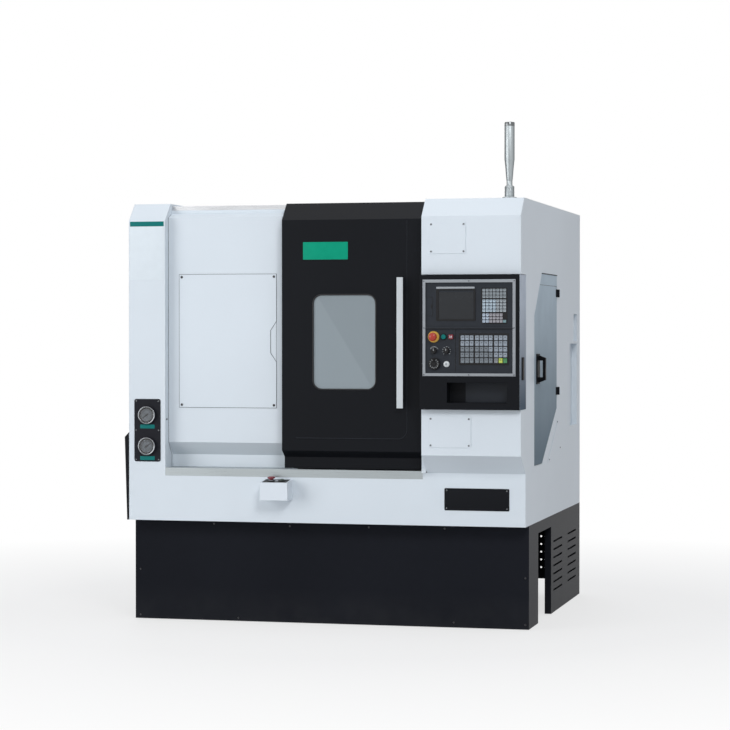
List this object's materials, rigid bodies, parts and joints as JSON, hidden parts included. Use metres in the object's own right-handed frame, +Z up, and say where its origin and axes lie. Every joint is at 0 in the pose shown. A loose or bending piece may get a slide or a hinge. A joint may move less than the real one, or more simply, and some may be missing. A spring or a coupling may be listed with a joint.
{
  "type": "cnc turning lathe",
  "caption": "Enclosed slant-bed CNC turning lathe with a sliding front door, a control panel, a service door and a signal lamp, for turning metal bars and blanks.",
  "frame": {"origin": "on the floor under the middle of the whole machine's box", "axes": "+Z up, front towards -Y, spindle axis along X with the chuck facing +X"},
  "size_m": [1.887, 1.752, 2.237],
  "materials": {
    "white_paint": "satin powder coat",
    "black_paint": "satin powder coat",
    "grey_paint": "satin powder coat",
    "cast_base": "painted casting",
    "ground_steel": "ground",
    "stainless": "brushed",
    "chrome": "polished",
    "aluminium": "satin anodised",
    "black_plastic": "fine grain",
    "panel_grey": "printed film",
    "key_grey": "moulded",
    "red_plastic": "moulded",
    "green_plastic": "moulded",
    "screen": "dark display",
    "window": "tinted safety glass",
    "belt": "moulded"
  },
  "bodies": {
    "frame": {"access_cover": "white_paint", "apron": "white_paint", "bed_rails": "ground_steel", "button_station": "white_paint", "control_bezel": "aluminium", "control_box": "black_paint", "control_faceplate": "panel_grey", "cover_plates": "white_paint", "door_top_rail": "ground_steel", "drive_belt": "belt", "front_skirt": "black_paint", "gauge_plate": "black_paint", "headstock": "cast_base", "headstock_guard": "white_paint", "hinge_wall_leaves": "black_paint", "hydraulic_unit": "grey_paint", "keypads": "key_grey", "lamp_head": "chrome", "lamp_mast": "chrome", "left_column": "white_paint", "left_front_panel": "white_paint", "left_side_cover": "black_paint", "left_side_wall": "white_paint", "levelling_feet": "ground_steel", "louvre_panel": "black_paint", "machine_base": "cast_base", "pressure_gauges": "chrome", "rear_skirt": "black_paint", "rear_wall": "white_paint", "right_column": "white_paint", "right_side_wall": "white_paint", "roof_panel": "white_paint", "screen_glass": "screen", "sill_rail": "stainless", "spindle_motor": "cast_base"},
    "door": {"door_leaf": "black_paint", "door_window": "window", "door_handle": "stainless"},
    "hatch": {"service_door": "grey_paint", "service_door_handle": "black_plastic", "hinge_door_leaves": "black_paint"},
    "spindle": {"spindle": "ground_steel", "chuck_body": "ground_steel"},
    "jaw_1": {"chuck_jaw_1": "ground_steel"},
    "jaw_2": {"chuck_jaw_2": "ground_steel"},
    "jaw_3": {"chuck_jaw_3": "ground_steel"},
    "motor_pulley": {"motor_pulley": "ground_steel"},
    "saddle": {"saddle": "cast_base"},
    "cross_slide": {"cross_slide": "cast_base"},
    "turret": {"turret_disc": "ground_steel"},
    "tailstock": {"tailstock_body": "cast_base"},
    "quill": {"tailstock_quill": "ground_steel"},
    "estop": {"estop_button": "red_plastic"},
    "cycle_start": {"cycle_start_button": "green_plastic"},
    "feed_hold": {"feed_hold_button": "red_plastic"},
    "mode_knob": {"mode_knob": "black_plastic"},
    "feed_knob": {"feed_knob": "black_plastic"},
    "dial": {"handwheel_dial": "black_plastic"},
    "station_stop": {"station_stop": "red_plastic"},
    "station_start": {"station_start": "green_plastic"}
  },
  "joints": [
    {"name": "door_slide", "type": "slide", "parent": "frame", "child": "door", "axis": [1, 0, 0], "range_m": [-0.55, 0]},
    {"name": "hatch_swing", "type": "hinge", "parent": "frame", "child": "hatch", "pos_m": [0.9125, 0.15401, 1.27], "axis": [0, 0, 1], "range_deg": [0, 110]},
    {"name": "spindle_spin", "type": "hinge", "parent": "frame", "child": "spindle", "pos_m": [0, -0.20799, 1], "axis": [1, 0, 0], "continuous": true},
    {"name": "motor_spin", "type": "hinge", "parent": "frame", "child": "motor_pulley", "pos_m": [0, 0.57699, 0.755], "axis": [1, 0, 0], "continuous": true},
    {"name": "jaw_1_slide", "type": "slide", "parent": "spindle", "child": "jaw_1", "axis": [0, 0, 1], "range_m": [-0.004, 0.004]},
    {"name": "jaw_2_slide", "type": "slide", "parent": "spindle", "child": "jaw_2", "axis": [0, -0.866, -0.5], "range_m": [-0.004, 0.004]},
    {"name": "jaw_3_slide", "type": "slide", "parent": "spindle", "child": "jaw_3", "axis": [0, 0.866, -0.5], "range_m": [-0.004, 0.004]},
    {"name": "carriage_slide", "type": "slide", "parent": "frame", "child": "saddle", "axis": [1, 0, 0], "range_m": [-0.02, 0.22]},
    {"name": "cross_slide_feed", "type": "slide", "parent": "saddle", "child": "cross_slide", "axis": [0, 0.7071, 0.7071], "range_m": [-0.06, 0.06]},
    {"name": "turret_index", "type": "hinge", "parent": "cross_slide", "child": "turret", "pos_m": [0, -0.04535, 1.16264], "axis": [1, 0, 0], "continuous": true},
    {"name": "tailstock_slide", "type": "slide", "parent": "frame", "child": "tailstock", "axis": [1, 0, 0], "range_m": [-0.12, 0]},
    {"name": "quill_slide", "type": "slide", "parent": "tailstock", "child": "quill", "axis": [1, 0, 0], "range_m": [-0.06, 0]},
    {"name": "estop_press", "type": "slide", "parent": "frame", "child": "estop", "axis": [0, 1, 0], "range_m": [0, 0.004], "stiffness_N_per_m": 900},
    {"name": "cycle_start_press", "type": "slide", "parent": "frame", "child": "cycle_start", "axis": [0, 1, 0], "range_m": [0, 0.003], "stiffness_N_per_m": 900},
    {"name": "feed_hold_press", "type": "slide", "parent": "frame", "child": "feed_hold", "axis": [0, 1, 0], "range_m": [0, 0.003], "stiffness_N_per_m": 900},
    {"name": "mode_turn", "type": "hinge", "parent": "frame", "child": "mode_knob", "pos_m": [0.5295, -0.84099, 1.23408], "axis": [0, 1, 0], "range_deg": [-60, 60]},
    {"name": "feed_turn", "type": "hinge", "parent": "frame", "child": "feed_knob", "pos_m": [0.5845, -0.84099, 1.23408], "axis": [0, 1, 0], "range_deg": [-135, 135]},
    {"name": "dial_turn", "type": "hinge", "parent": "frame", "child": "dial", "pos_m": [0.5315, -0.84099, 1.17808], "axis": [0, 1, 0], "continuous": true},
    {"name": "station_stop_press", "type": "slide", "parent": "frame", "child": "station_stop", "axis": [0, 0.1283, -0.9917], "range_m": [0, 0.004], "stiffness_N_per_m": 900},
    {"name": "station_start_press", "type": "slide", "parent": "frame", "child": "station_start", "axis": [0, 0.1283, -0.9917], "range_m": [0, 0.003], "stiffness_N_per_m": 900}
  ],
  "couplings": [
    {"joint": "motor_spin", "follows": "spindle_spin", "ratio": 1.25},
    {"joint": "jaw_2_slide", "follows": "jaw_1_slide", "ratio": 1},
    {"joint": "jaw_3_slide", "follows": "jaw_1_slide", "ratio": 1}
  ]
}
